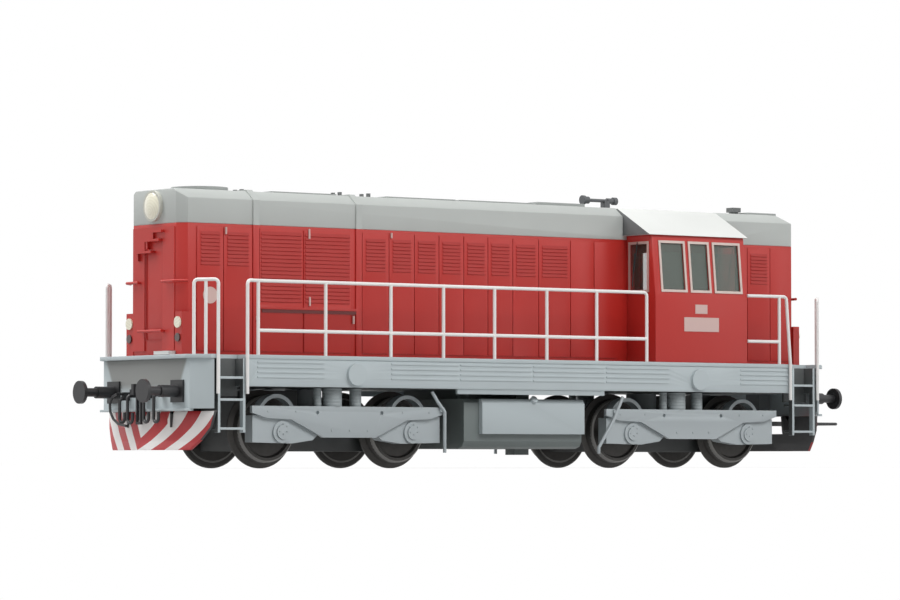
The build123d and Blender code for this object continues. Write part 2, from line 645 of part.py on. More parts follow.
# Draw hooks on both headstocks, the front one with its screw link hanging
HOOK_BASE = full(30)
with BuildPart() as hooks:
    for end in ENDS.values():
        foot = HEADSTOCK_X + HOOK_BASE
        box((end * HEADSTOCK_X, end * foot), (-full(120), full(120)), (up(930), up(1170)))
        box((end * foot, end * (foot + full(210))), (-full(32), full(32)), (up(1005), up(1085)))
        box((end * (foot + full(150)), end * (foot + full(210))), (-full(32), full(32)), (up(1085), up(1165)))
        if end < 0:
            for side in SIDES.values():
                box((end * (foot + full(70)), end * (foot + full(108))), (side * full(32), side * full(66)),
                    (up(600), up(1060)))
            box((end * (foot + full(70)), end * (foot + full(108))), (-full(66), full(66)), (up(565), up(605)))
finish(hooks.part, "draw_hooks")


# Brake hoses: a cock on the headstock and a hose looping back from it, in front and behind
HOSE_RADIUS = 0.28
HOSE_REACH = full(165)
# y, height of the cock, lowest height, y where the free end hangs; full-size millimetres
FRONT_HOSES = [(470, 960, 600, 330), (250, 1000, 590, 110), (-200, 985, 600, -330), (-470, 1010, 600, -600)]
REAR_HOSES = [(430, 960, 620, 300), (-430, 960, 620, -300)]
with BuildPart() as hoses:
    for end, table in ((-1, FRONT_HOSES), (1, REAR_HOSES)):
        for y, cock, low, y_end in table:
            out = end * (HEADSTOCK_X + HOSE_REACH)
            box((end * HEADSTOCK_X, end * (HEADSTOCK_X + full(110))), (full(y - 32), full(y + 32)),
                (up(cock - 35), up(cock + 90)))
            tube([(end * (HEADSTOCK_X + full(90)), full(y), up(cock)), (out, full(y), up(cock)),
                  (out, full(y), up(low)), (out, full(y_end), up(low)), (out, full(y_end), up(low + 150))],
                 full(62), HOSE_RADIUS)
finish(hoses.part, "brake_hoses")


# The loop coupling at the rear: a flat shank that swivels under the headstock, a hook and a wire loop
COUPLING_PIVOT = full(5890)
COUPLING_HEIGHT = up(640)
COUPLING_THICK = full(75)
SHANK_HALF = full(110)
LOOP_HALF = full(400)
LOOP_X = (full(6760), full(7270))
LOOP_RADIUS = 0.28
COUPLING_PIN_RADIUS = 0.8
COUPLING_TOP = COUPLING_HEIGHT + COUPLING_THICK / 2
COUPLING_BOTTOM = COUPLING_HEIGHT - COUPLING_THICK / 2
with BuildPart() as coupling:
    box((COUPLING_PIVOT, full(7000)), (-SHANK_HALF, SHANK_HALF), (COUPLING_BOTTOM, COUPLING_TOP))
    rod((COUPLING_PIVOT, 0, COUPLING_BOTTOM), (COUPLING_PIVOT, 0, COUPLING_TOP), SHANK_HALF * 1.4)
    box((full(6940), full(7000)), (-SHANK_HALF, SHANK_HALF), (COUPLING_TOP, COUPLING_TOP + full(90)))
    box((full(6700), full(6800)), (-LOOP_HALF, LOOP_HALF), (COUPLING_BOTTOM, COUPLING_TOP))
    rod((COUPLING_PIVOT, 0, COUPLING_BOTTOM - 1), (COUPLING_PIVOT, 0, COUPLING_TOP + 1),
        COUPLING_PIN_RADIUS + RUNNING_GAP, Mode.SUBTRACT)
    tube([(LOOP_X[0], -LOOP_HALF + LOOP_RADIUS, COUPLING_HEIGHT), (LOOP_X[1], -LOOP_HALF + LOOP_RADIUS, COUPLING_HEIGHT),
          (LOOP_X[1], LOOP_HALF - LOOP_RADIUS, COUPLING_HEIGHT), (LOOP_X[0], LOOP_HALF - LOOP_RADIUS, COUPLING_HEIGHT)],
         full(70), LOOP_RADIUS)
finish(coupling.part, "loop_coupling")

# Its pivot pin and the bracket that carries the pin, under the underframe
with BuildPart() as coupling_bracket:
    box((COUPLING_PIVOT - full(160), COUPLING_PIVOT + full(70)), (-full(170), full(170)),
        (COUPLING_TOP + full(40), SILL_BOTTOM))
    rod((COUPLING_PIVOT, 0, COUPLING_BOTTOM), (COUPLING_PIVOT, 0, COUPLING_TOP + full(40)), COUPLING_PIN_RADIUS)
finish(coupling_bracket.part, "coupling_bracket")


# Snow ploughs: two swept and hollowed wings meeting in the middle, the rear one notched for the coupling
PLOUGH_THICK = full(52)
# height, apex x, wing end x, wing end y, from foot to head; full-size millimetres
PLOUGH_SECTIONS = [(185, 6290, 6060, 1055), (330, 6235, 5985, 1225), (520, 6195, 5915, 1380), (757, 6175, 5880, 1440)]
NOTCH_HALF = full(330)
NOTCH_BOTTOM = up(470)


def plough_outline(end, apex, wing_x, wing_y):
    """Plan of both wings at one height."""
    front = [(full(wing_x), full(wing_y)), (full(apex), 0), (full(wing_x), -full(wing_y))]
    back = [(x - PLOUGH_THICK, y) for x, y in reversed(front)]
    return [(end * x, y) for x, y in front + back]


for end_name, end in ENDS.items():
    with BuildPart() as plough:
        for lower, upper in zip(PLOUGH_SECTIONS, PLOUGH_SECTIONS[1:]):
            slices = []
            for height, apex, wing_x, wing_y in (lower, upper):
                with BuildSketch(Plane.XY.offset(up(height))) as slice_plan:
                    with BuildLine():
                        Polyline(*plough_outline(end, apex, wing_x, wing_y), close=True)
                    make_face()
                slices.append(slice_plan.sketch)
            loft(slices, ruled=True)
        for side in SIDES.values():
            box((end * full(5890), end * full(6120)), (side * full(560), side * full(620)),
                (up(520), HEADSTOCK_BOTTOM - HEADSTOCK_FLANGE))
        if end > 0:
            box((full(5800), full(6400)), (-NOTCH_HALF, NOTCH_HALF), (NOTCH_BOTTOM, up(800)), Mode.SUBTRACT)
    finish(plough.part, f"snow_plough_{end_name}")


# Corner ladders: two stringers, three treads and the back of the well, at each corner
STRINGER_THICK = full(42)
LADDER_BOTTOM = up(440)
TREADS = [up(height) for height in (500, 925, 1248)]
TREAD_THICK = full(34)
WELL_BACK_BOTTOM = up(980)
with BuildPart() as ladders:
    for end in ENDS.values():
        for side in SIDES.values():
            depth = (side * WELL_INNER, side * FRAME_HALF)
            box((end * LADDER_X[0], end * LADDER_X[1]), (side * (WELL_INNER - full(40)), side * WELL_INNER),
                (WELL_BACK_BOTTOM, DECK_BOTTOM))
            for x_from, x_to in ((LADDER_X[0], LADDER_X[0] + STRINGER_THICK),
                                 (LADDER_X[1] - STRINGER_THICK, LADDER_X[1])):
                box((end * x_from, end * x_to), (side * (FRAME_HALF - full(90)), side * FRAME_HALF),
                    (LADDER_BOTTOM, DECK_BOTTOM))
                box((end * x_from, end * x_to), depth, (SILL_BOTTOM, DECK_BOTTOM))
            for tread in TREADS:
                box((end * LADDER_X[0], end * LADDER_X[1]), depth, (tread - TREAD_THICK / 2, tread + TREAD_THICK / 2))
finish(ladders.part, "ladders")


# Handrails: a long fence each side, a short one behind the cab, and a hoop at each corner of the deck
RAIL_Y = FRAME_HALF - full(12)
RAIL_POSTS = [full(x) for x in (-5101, -3888, -2688, -1701, -724, 294, 1284, 2295)]
REAR_POST = full(5065)
GRAB_Y = FRAME_HALF + DECK_SIDE_LIP + RAIL_RADIUS
GRAB_FOOT = up(1010)
HOOP_IN = (full(6075), full(1195))
HOOP_OUT = full(5839)
HOOP_MIDDLE = (full(5955), full(1330))
LONG_GRAB_X = full(-5325)
REAR_GRAB_X = full(5255)
HOOP_TOP = {"front": RAIL_TOP_HEIGHT, "rear": RAIL_TOP_HEIGHT - full(20)}
for side_name, side in SIDES.items():
    y, y_out = side * RAIL_Y, side * GRAB_Y
    with BuildPart() as handrail:
        tube([(RAIL_POSTS[-1], y, DECK_TOP), (RAIL_POSTS[-1], y, RAIL_TOP_HEIGHT), (RAIL_POSTS[0], y, RAIL_TOP_HEIGHT),
              (LONG_GRAB_X, y_out, RAIL_TOP_HEIGHT), (LONG_GRAB_X, y_out, GRAB_FOOT)], full(60), RAIL_RADIUS)
        rod((RAIL_POSTS[0], y, RAIL_MID_HEIGHT), (RAIL_POSTS[-1], y, RAIL_MID_HEIGHT), RAIL_RADIUS)
        for post in RAIL_POSTS[:-1]:
            rod((post, y, DECK_TOP), (post, y, RAIL_TOP_HEIGHT), RAIL_RADIUS)
        tube([(CAB_REAR, y, RAIL_TOP_HEIGHT), (full(5215), y, RAIL_TOP_HEIGHT), (REAR_GRAB_X, y_out, DECK_TOP),
              (REAR_GRAB_X, y_out, GRAB_FOOT)], full(60), RAIL_RADIUS)
        rod((CAB_REAR, y, RAIL_MID_HEIGHT), (REAR_POST, y, RAIL_MID_HEIGHT), RAIL_RADIUS)
        rod((REAR_POST, y, DECK_TOP), (REAR_POST, y, RAIL_TOP_HEIGHT), RAIL_RADIUS)
        for end_name, end in ENDS.items():
            top = HOOP_TOP[end_name]
            tube([(end * HOOP_IN[0], side * HOOP_IN[1], DECK_TOP), (end * HOOP_IN[0], side * HOOP_IN[1], top),
                  (end * HOOP_OUT, y_out, top), (end * HOOP_OUT, y_out, GRAB_FOOT)], full(60), RAIL_RADIUS)
            rod((end * HOOP_MIDDLE[0], side * HOOP_MIDDLE[1], DECK_TOP),
                (end * HOOP_MIDDLE[0], side * HOOP_MIDDLE[1], top), RAIL_RADIUS)
    finish(handrail.part, f"handrails_{side_name}")


# The fuel tank between the bogies, hung on two straps, with a raised panel and a filler on each side
TANK_X = (full(-1150), full(1150))
TANK_HALF = full(1215)
TANK_TOP = up(980)
TANK_BELLY = up(212)
PANEL_X = (full(-865), full(1137))
PANEL_FACE = full(1310)
STRAP_X = (full(-900), full(250))
STRAP_WIDTH = full(260)
with BuildPart() as tank:
    half_section = [(TANK_HALF - full(60), TANK_TOP), (TANK_HALF, TANK_TOP - full(60)), (TANK_HALF, up(330)),
                    (TANK_HALF - full(45), up(250)), (TANK_HALF - full(150), TANK_BELLY)]
    prism_x(half_section + [(-y, z) for y, z in reversed(half_section)], TANK_X)
    for side in SIDES.values():
        panel = [(side * TANK_HALF, up(440)), (side * PANEL_FACE, up(440)), (side * PANEL_FACE, up(915)),
                 (side * (PANEL_FACE - full(45)), TANK_TOP), (side * (TANK_HALF - full(60)), TANK_TOP)]
        prism_x(panel, PANEL_X)
        rod((full(135), side * full(1235), TANK_TOP - full(60)), (full(135), side * full(1330), up(985)), full(58))
    for strap in STRAP_X:
        box((strap, strap + STRAP_WIDTH), (-full(700), full(700)), (TANK_TOP, SILL_BOTTOM))
    box((full(440), full(720)), (-full(420), -full(180)), (up(120), TANK_BELLY))
finish(tank.part, "fuel_tank")


# Bogies: two side frames on a bolster, axle boxes in their guides, springs, and a gear housing inside
BOGIE_FACE = full(1300)
SIDE_FRAME_THICK = 0.7
BOGIE_HALF = full(1765)
# x and z of the side frame's lower edge from the middle outwards, full-size millimetres
SIDE_FRAME_EDGE = [(480, 374), (1060, 640), (1500, 660), (1765, 740)]
SIDE_FRAME_TOP = up(840)
FRAME_HOLES = full(590)
FRAME_HOLE_HEIGHT = up(745)
GEAR_HALF = 5.6
GEAR_TOP = up(900)
BOLSTER_HALF = full(400)
BOLSTER_BOTTOM = up(420)
BOLSTER_TOP = up(800)
BOSS_TOP = SILL_BOTTOM - full(12)
GEAR_HALF = 5.6
GEAR_BOTTOM = up(170)
GEAR_TOP_OUTER = up(1085)
GEAR_TOP_INNER = up(870)
BOX_INNER = full(1040)
# x outwards from the axle, and z, of an axle box's casting, full-size millimetres
BOX_CASTING = [(-640, 400), (-560, 335), (-200, 285), (520, 300), (520, 700), (-640, 700)]
ARCH_HEIGHT = up(680)
ARCH_RADIUS = full(340)
ARCH_THICK = full(55)
ARCH_Y = (full(950), full(1120))
SAND_PIPE_Y = full(1335)
SAND_PIPE_RADIUS = 0.3
# x towards the middle from the pivot, and z, of the sand pipe at a bogie's inner end, full-size millimetres
SAND_PIPES = {"front": [(1500, 1080), (1612, 923), (1745, 772), (1745, 150)],
              "rear": [(1465, 1033), (1647, 669), (1950, 235), (1950, 140)]}
SAND_PIPE_CLIPS = {"front": (1670, 1750), "rear": (1555, 1635)}
# from, to along X from the pivot, radius: the upright springs and the damper, full-size millimetres
SPRINGS = [(-390, -80, 150), (100, 290, 90), (-560, -440, 60)]
SPRING_Y = full(1165)
SPRING_TOP = SILL_BOTTOM - full(14)
FRAME_INNER = BOGIE_FACE - SIDE_FRAME_THICK
COVER_HEIGHT = up(455)
COVER_RADIUS = full(165)
COVER_FACE = full(1270)
AXLE_PIN_RADIUS = 0.55
AXLE_PIN_PLAY = 0.07

for end_name, end in ENDS.items():
    cx = end * PIVOT_X
    with BuildPart() as side_frames:
        edge = [(full(x), up(z)) for x, z in SIDE_FRAME_EDGE]
        outline = ([(-BOGIE_HALF, SIDE_FRAME_TOP), (BOGIE_HALF, SIDE_FRAME_TOP)]
                   + list(reversed(edge)) + [(-x, z) for x, z in edge])
        for side in SIDES.values():
            prism_y([(cx + x, z) for x, z in outline], (side * FRAME_INNER, side * BOGIE_FACE))
            for hole in (-FRAME_HOLES, FRAME_HOLES):
                rod((cx + hole, side * (BOGIE_FACE - full(45)), FRAME_HOLE_HEIGHT),
                    (cx + hole, side * (BOGIE_FACE + 1), FRAME_HOLE_HEIGHT), full(30), Mode.SUBTRACT)
        box((cx - BOLSTER_HALF, cx + BOLSTER_HALF), (-FRAME_INNER, FRAME_INNER), (BOLSTER_BOTTOM, BOLSTER_TOP))
        rod((cx, 0, BOLSTER_TOP), (cx, 0, BOSS_TOP), PIVOT_PIN_RADIUS + 1.2)
        rod((cx, 0, PIVOT_PIN_BOTTOM - 0.5), (cx, 0, BOSS_TOP + 1), PIVOT_PIN_RADIUS + RUNNING_GAP, Mode.SUBTRACT)
    finish(side_frames.part, f"bogie_frame_{end_name}")

    with BuildPart() as housing:
        for axle in (-1, 1):
            ax = cx + axle * HALF_WHEELBASE
            top = GEAR_TOP_OUTER if axle == end else GEAR_TOP_INNER
            box((cx + axle * BOLSTER_HALF, ax + axle * full(300)), (-GEAR_HALF, GEAR_HALF), (GEAR_BOTTOM, top))
        box((cx - BOLSTER_HALF, cx + BOLSTER_HALF), (-GEAR_HALF, GEAR_HALF), (GEAR_BOTTOM, BOLSTER_BOTTOM))
        for axle in (-1, 1):
            ax = cx + axle * HALF_WHEELBASE
            rod((ax, -GEAR_HALF - 1, AXLE_HEIGHT), (ax, GEAR_HALF + 1, AXLE_HEIGHT), AXLE_RADIUS + RUNNING_GAP,
                Mode.SUBTRACT)
    finish(housing.part, f"gear_housing_{end_name}")

    with BuildPart() as boxes:
        for side in SIDES.values():
            for axle in (-1, 1):
                ax = cx + axle * HALF_WHEELBASE
                casting = [(ax + axle * full(x), up(z)) for x, z in BOX_CASTING]
                prism_y(casting, (side * BOX_INNER, side * FRAME_INNER))
                plane = Plane(origin=(ax, 0, ARCH_HEIGHT), x_dir=(1, 0, 0), z_dir=(0, -1, 0))
                with BuildSketch(plane.offset(-max(side * ARCH_Y[0], side * ARCH_Y[1]))) as arch:
                    Circle(ARCH_RADIUS)
                    Circle(ARCH_RADIUS - ARCH_THICK, mode=Mode.SUBTRACT)
                    with Locations((0, -ARCH_RADIUS)):
                        Rectangle(3 * ARCH_RADIUS, 2 * ARCH_RADIUS, mode=Mode.SUBTRACT)
                extrude(arch.sketch, amount=ARCH_Y[1] - ARCH_Y[0])
                rod((ax, side * FRAME_INNER, COVER_HEIGHT), (ax, side * COVER_FACE, COVER_HEIGHT), COVER_RADIUS)
                rod((ax, side * COVER_FACE, COVER_HEIGHT), (ax, side * (COVER_FACE + full(20)), COVER_HEIGHT),
                    COVER_RADIUS * 0.65)
                rod((ax, side * (BOX_INNER - 1), AXLE_HEIGHT), (ax, side * full(1150), AXLE_HEIGHT),
                    AXLE_PIN_RADIUS + AXLE_PIN_PLAY, Mode.SUBTRACT)
    finish(boxes.part, f"axle_boxes_{end_name}")

    with BuildPart() as pipes:
        for side in SIDES.values():
            tube([(cx - end * full(x), side * SAND_PIPE_Y, up(z)) for x, z in SAND_PIPES[end_name]],
                 full(40), SAND_PIPE_RADIUS)
            clip = [cx - end * full(x) for x in SAND_PIPE_CLIPS[end_name]]
            box(clip, (side * BOGIE_FACE, side * SAND_PIPE_Y), (up(775), up(825)))
    finish(pipes.part, f"sand_pipes_{end_name}")

    with BuildPart() as springs:
        for side in SIDES.values():
            for start, stop, radius in SPRINGS:
                x = cx + full(start + stop) / 2
                rod((x, side * SPRING_Y, SIDE_FRAME_TOP), (x, side * SPRING_Y, SPRING_TOP), full(radius))
    finish(springs.part, f"bogie_springs_{end_name}")


# Wheelsets: two wheels with flanges and dished faces on one axle, its pins turning in the axle boxes
RIM_INNER = TREAD_RADIUS - full(70)
HUB_RADIUS = full(140)
WEB_RECESS = 0.5
AXLE_PIN_END = BOX_INNER + 0.9
wheel_number = 0
for end_name, end in ENDS.items():
    for axle in (-1, 1):
        wheel_number += 1
        ax = end * PIVOT_X + axle * HALF_WHEELBASE
        face_y = WHEEL_BACK + WHEEL_WIDTH
        flange = TREAD_RADIUS + FLANGE_HEIGHT
        profile = [(WHEEL_BACK, AXLE_RADIUS), (WHEEL_BACK, flange - 0.3),
                   (WHEEL_BACK + 0.25, flange), (WHEEL_BACK + FLANGE_WIDTH - 0.3, flange),
                   (WHEEL_BACK + FLANGE_WIDTH, TREAD_RADIUS + 0.1), (face_y - 0.25, TREAD_RADIUS),
                   (face_y, TREAD_RADIUS - 0.25), (face_y, RIM_INNER), (face_y - WEB_RECESS, RIM_INNER - 0.3),
                   (face_y - WEB_RECESS, HUB_RADIUS + 0.2), (face_y, HUB_RADIUS), (face_y, AXLE_PIN_RADIUS),
                   (AXLE_PIN_END, AXLE_PIN_RADIUS), (AXLE_PIN_END, 0)]
        with BuildPart() as wheelset:
            plane = Plane(origin=(ax, 0, AXLE_HEIGHT), x_dir=(0, 1, 0), z_dir=(1, 0, 0))
            with BuildSketch(plane):
                with BuildLine():
                    Polyline(*profile, *[(-y, r) for y, r in reversed(profile)], close=True)
                make_face()
            revolve(axis=Axis((ax, 0, AXLE_HEIGHT), (0, 1, 0)), revolution_arc=360)
        finish(wheelset.part, f"wheelset_{wheel_number}")
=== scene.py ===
import json
import math

import bmesh
import bpy
from mathutils import Matrix, Vector

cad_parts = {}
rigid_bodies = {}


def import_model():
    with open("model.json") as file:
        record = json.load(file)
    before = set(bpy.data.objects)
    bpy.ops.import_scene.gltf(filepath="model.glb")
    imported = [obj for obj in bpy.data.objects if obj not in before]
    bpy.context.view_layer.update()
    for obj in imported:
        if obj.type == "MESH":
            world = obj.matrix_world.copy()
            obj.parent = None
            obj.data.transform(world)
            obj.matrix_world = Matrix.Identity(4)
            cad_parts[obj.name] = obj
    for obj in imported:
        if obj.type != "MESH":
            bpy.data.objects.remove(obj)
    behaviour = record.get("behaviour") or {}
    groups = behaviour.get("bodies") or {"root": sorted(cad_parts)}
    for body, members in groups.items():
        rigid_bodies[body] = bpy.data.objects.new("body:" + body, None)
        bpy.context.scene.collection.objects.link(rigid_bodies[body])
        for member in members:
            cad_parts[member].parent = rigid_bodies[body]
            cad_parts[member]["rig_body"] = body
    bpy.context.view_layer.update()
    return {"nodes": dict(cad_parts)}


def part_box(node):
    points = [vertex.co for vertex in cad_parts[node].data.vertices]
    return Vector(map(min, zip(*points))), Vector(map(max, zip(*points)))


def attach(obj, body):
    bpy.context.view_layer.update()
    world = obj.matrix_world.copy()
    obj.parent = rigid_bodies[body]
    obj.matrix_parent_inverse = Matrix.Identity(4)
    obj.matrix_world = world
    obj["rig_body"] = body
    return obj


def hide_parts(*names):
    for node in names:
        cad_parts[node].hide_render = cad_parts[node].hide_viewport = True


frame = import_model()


# The picture: the model stands on a white table in front of a white wall. It is seen from just above
# the rail head, off its front left corner, through a long lens that looks up a little.
MM = 0.001
RAIL_HEAD = 1.0 * MM       # the flanges' bottoms are the floor, the rail head is above them
EYE = Vector((-457.16 * MM, -606.34 * MM, RAIL_HEAD + 0.27 * MM))
HEADING = math.radians(53.34)
LOOK_UP = math.radians(2.196)
LENS = 168.0
SENSOR = 36.0
NEAREST = 50 * MM          # nothing closer to the eye is drawn
camera = bpy.data.objects.new("camera", bpy.data.cameras.new("camera"))
bpy.context.scene.collection.objects.link(camera)
camera.location = EYE
line_of_sight = Vector((math.cos(HEADING) * math.cos(LOOK_UP), math.sin(HEADING) * math.cos(LOOK_UP),
                        math.sin(LOOK_UP)))
camera.rotation_mode = "QUATERNION"
camera.rotation_quaternion = line_of_sight.to_track_quat("-Z", "Y")
camera.data.lens = LENS
camera.data.sensor_width = SENSOR
camera.data.clip_start = NEAREST
bpy.context.scene.camera = camera
bpy.context.scene.view_settings.view_transform = "Standard"


# The table: white card, seen white, that gives little light back to the model's underside and keeps a
# faint shadow. White light is laid over the card's own shade, and less of it near the model.
FLOOR_REACH = 3.0
FLOOR_WHITE = 0.86
CARD_GRAIN = 4 * MM
CARD_VARIETY = 0.02
CARD_ROUGHNESS = 0.9
FLOOR_BOUNCE = 0.45        # what the card gives back to the model's underside
SHADOW_REACH = 0.30        # the shadow fades out this far from the model's middle
SHADOW_CORE = 0.3          # the share of that reach where it hasn't begun to fade
SHADOW_DEPTH = 0.30


class Signal:
    """A value on its way through a material, so that its maths reads as plain Python."""

    def __init__(self, finish, socket):
        self.finish, self.socket = finish, socket

    def _maths(self, operation, first, second=None):
        values = {0: first} if second is None else {0: first, 1: second}
        return self.finish.node("ShaderNodeMath", {"operation": operation}, values)

    def __add__(self, other):
        return self._maths("ADD", self, other)

    def __radd__(self, other):
        return self._maths("ADD", other, self)

    def __sub__(self, other):
        return self._maths("SUBTRACT", self, other)

    def __rsub__(self, other):
        return self._maths("SUBTRACT", other, self)

    def __mul__(self, other):
        return self._maths("MULTIPLY", self, other)

    def __rmul__(self, other):
        return self._maths("MULTIPLY", other, self)

    def __truediv__(self, other):
        return self._maths("DIVIDE", self, other)

    def __pow__(self, other):
        return self._maths("POWER", self, other)

    def __abs__(self):
        return self._maths("ABSOLUTE", self)

    def __gt__(self, other):
        return self._maths("GREATER_THAN", self, other)

    def __lt__(self, other):
        return self._maths("LESS_THAN", self, other)

    def fraction(self):
        return self._maths("FRACT", self)


class Finish:
    """A material being made up: its nodes, its surface, and the place of a point on the piece."""

    def __init__(self, name):
        self.material = bpy.data.materials.new(name)
        self.material.use_nodes = True
        self.tree = self.material.node_tree
        self.surface = self.tree.nodes["Principled BSDF"]
        self.place = self.node("ShaderNodeTexCoord", {}, {}, "Object")

    def node(self, kind, settings, sockets, output=0):
        """Any node: its settings first, then the values or links of its sockets."""
        made = self.tree.nodes.new(kind)
        for name, value in settings.items():
            setattr(made, name, value)
        for name, value in sockets.items():
            self.join(made.inputs[name], value)
        return Signal(self, made.outputs[output])

    def join(self, socket, value):
        """Links a signal to a socket, or sets the socket to a plain value."""
        if isinstance(value, Signal):
            self.tree.links.new(value.socket, socket)
        else:
            socket.default_value = value

    def set(self, **sockets):
        """Values or links on the surface's own sockets, named with underscores."""
        for name, value in sockets.items():
            self.join(self.surface.inputs[name.replace("_", " ")], value)

    def axis(self, name):
        """How far a point of the piece lies along X, Y or Z, in metres."""
        return self.node("ShaderNodeSeparateXYZ", {}, {0: self.place}, name)

    def noise(self, size, detail=3.0):
        """Cloudy noise from 0 to 1, its patches about as wide as the size in metres."""
        return self.node("ShaderNodeTexNoise", {},
                         {"Vector": self.place, "Scale": 1.0 / size, "Detail": detail}, "Fac")

    def between(self, share, first, second):
        """A colour between two others."""
        return self.node("ShaderNodeMix", {"data_type": "RGBA"}, {0: share, 6: first, 7: second}, 2)

    def relief(self, height, depth):
        """Fine relief, its height from 0 to 1 standing for a depth in metres."""
        self.set(Normal=self.node("ShaderNodeBump", {},
                                  {"Strength": 1.0, "Distance": depth, "Height": height}, "Normal"))


def grey(level):
    """A neutral colour, from 0 for black to 1 for white."""
    return (level, level, level, 1)


floor_shape = bmesh.new()
bmesh.ops.create_grid(floor_shape, x_segments=1, y_segments=1, size=FLOOR_REACH)
floor_mesh = bpy.data.meshes.new("floor")
floor_shape.to_mesh(floor_mesh)
floor_shape.free()
floor = bpy.data.objects.new("floor", floor_mesh)
bpy.context.scene.collection.objects.link(floor)
card = Finish("white_card")
seen_directly = (card.node("ShaderNodeLightPath", {}, {}, "Is Camera Ray")
                 + card.node("ShaderNodeLightPath", {}, {}, "Is Glossy Ray")
                 + card.node("ShaderNodeLightPath", {}, {}, "Is Transmission Ray")) > 0.5
white_card = card.between(card.noise(CARD_GRAIN), grey(FLOOR_WHITE), grey(FLOOR_WHITE + CARD_VARIETY))
card.set(Base_Color=card.between(seen_directly, grey(FLOOR_BOUNCE), white_card), Roughness=CARD_ROUGHNESS)
distance = card.node("ShaderNodeVectorMath", {"operation": "LENGTH"}, {0: card.place}, "Value")
fade = card.node("ShaderNodeMapRange", {"interpolation_type": "SMOOTHSTEP"},
                 {"Value": distance, "From Min": SHADOW_REACH * SHADOW_CORE, "From Max": SHADOW_REACH,
                  "To Min": 1.0 - SHADOW_DEPTH, "To Max": 1.0})
white_light = card.node("ShaderNodeEmission", {}, {"Color": grey(1), "Strength": 1.0}, "Emission")
card_and_light = card.node("ShaderNodeMixShader", {}, {
    0: seen_directly * fade, 1: Signal(card, card.surface.outputs[0]), 2: white_light})
card.join(card.tree.nodes["Material Output"].inputs[0], card_and_light)
floor_mesh.materials.append(card.material)


# The wall and the lamps: a surround that is white to the eye, to gloss and through panes, and dim as a
# light, with square soft boxes round the model. The strongest hang over its right front corner and on
# its left.
WORLD_LIGHT = 0.12
SOFT_BOX_SIZE = 0.45
RING_HEIGHT = 0.03         # the middle of the lamps' round, above the table
AIM_HEIGHT = 0.02          # the lamps point at the model's waist
# azimuth and elevation in degrees, and power, of each lamp; all stand a metre off
SOFT_BOXES = [(135, 40, 3.9), (135, 68, 6.3), (180, 12, 1.0),
              (270, 40, 5.4), (315, 12, 0.7), (315, 40, 0.8)]
world = bpy.data.worlds.new("studio")
world.use_nodes = True
bpy.context.scene.world = world
backdrop = world.node_tree
light_path = backdrop.nodes.new("ShaderNodeLightPath")
by_gloss_or_pane = backdrop.nodes.new("ShaderNodeMath")
seen = backdrop.nodes.new("ShaderNodeMath")
by_gloss_or_pane.operation = seen.operation = "MAXIMUM"
backdrop.links.new(light_path.outputs["Is Glossy Ray"], by_gloss_or_pane.inputs[0])
backdrop.links.new(light_path.outputs["Is Transmission Ray"], by_gloss_or_pane.inputs[1])
backdrop.links.new(light_path.outputs["Is Camera Ray"], seen.inputs[0])
backdrop.links.new(by_gloss_or_pane.outputs[0], seen.inputs[1])
strength = backdrop.nodes.new("ShaderNodeMapRange")
strength.inputs["To Min"].default_value = WORLD_LIGHT
strength.inputs["To Max"].default_value = 1.0
backdrop.links.new(seen.outputs[0], strength.inputs["Value"])
backdrop.links.new(strength.outputs["Result"], backdrop.nodes["Background"].inputs["Strength"])
backdrop.nodes["Background"].inputs["Color"].default_value = grey(1)
for number, (azimuth, elevation, power) in enumerate(SOFT_BOXES):
    lamp = bpy.data.objects.new(f"soft_box_{number}", bpy.data.lights.new(f"soft_box_{number}", "AREA"))
    lamp.data.size = SOFT_BOX_SIZE
    lamp.data.energy = power
    turn, rise = math.radians(azimuth), math.radians(elevation)
    lamp.location = (math.cos(rise) * math.cos(turn), math.cos(rise) * math.sin(turn),
                     math.sin(rise) + RING_HEIGHT)
    lamp.rotation_mode = "QUATERNION"
    lamp.rotation_quaternion = (Vector((0, 0, AIM_HEIGHT)) - lamp.location).to_track_quat("-Z", "Y")
    bpy.context.scene.collection.objects.link(lamp)


# The underframe: a slab cast in metal and painted grey, with the bogies' pivot pins and the bracket of
# the rear coupling below it. The skin of the casting shows through the paint as a fine grain.
MERGE = 1e-6               # corners closer than this are one
SHARP = math.radians(28)   # edges sharper than this are rounded, and drawn as edges
FLAT = math.radians(0.5)   # faces that meet at less than this are one face
CLOUDS = 9 * MM            # patches of slightly different colour
GLOSS_PATCHES = 2.5 * MM   # patches of slightly different gloss
GLOSS_CHANGE = 0.06
SCALE = 87.0               # full size to model


def full(size):
    """A size of the full-size machine in millimetres, as metres of the model."""
    return size * MM / SCALE


def up(height):
    """A height above the rail head at full size, as a height of the model."""
    return RAIL_HEAD + full(height)


def paint(red, green, blue):
    """A colour written as it looks on a screen, turned into light."""
    return tuple((value / 255.0) ** 2.2 for value in (red, green, blue)) + (1.0,)


def toned(colour, share):
    """A colour made lighter, or with a share below zero darker."""
    return tuple(min(1, value * (1 + share)) for value in colour[:3]) + (1,)


def moulding(name, colour, roughness=0.45, grain=0.12 * MM, depth=1.2e-6, variety=0.05):
    """Painted or dyed moulding: nearly even colour, a fine grain and slightly uneven gloss."""
    made = Finish(name)
    made.set(Base_Color=made.between(made.noise(CLOUDS), toned(colour, -variety), toned(colour, variety)))
    made.set(Roughness=roughness - GLOSS_CHANGE + 2 * GLOSS_CHANGE * made.noise(GLOSS_PATCHES))
    made.relief(made.noise(grain, detail=2.0), depth)
    return made


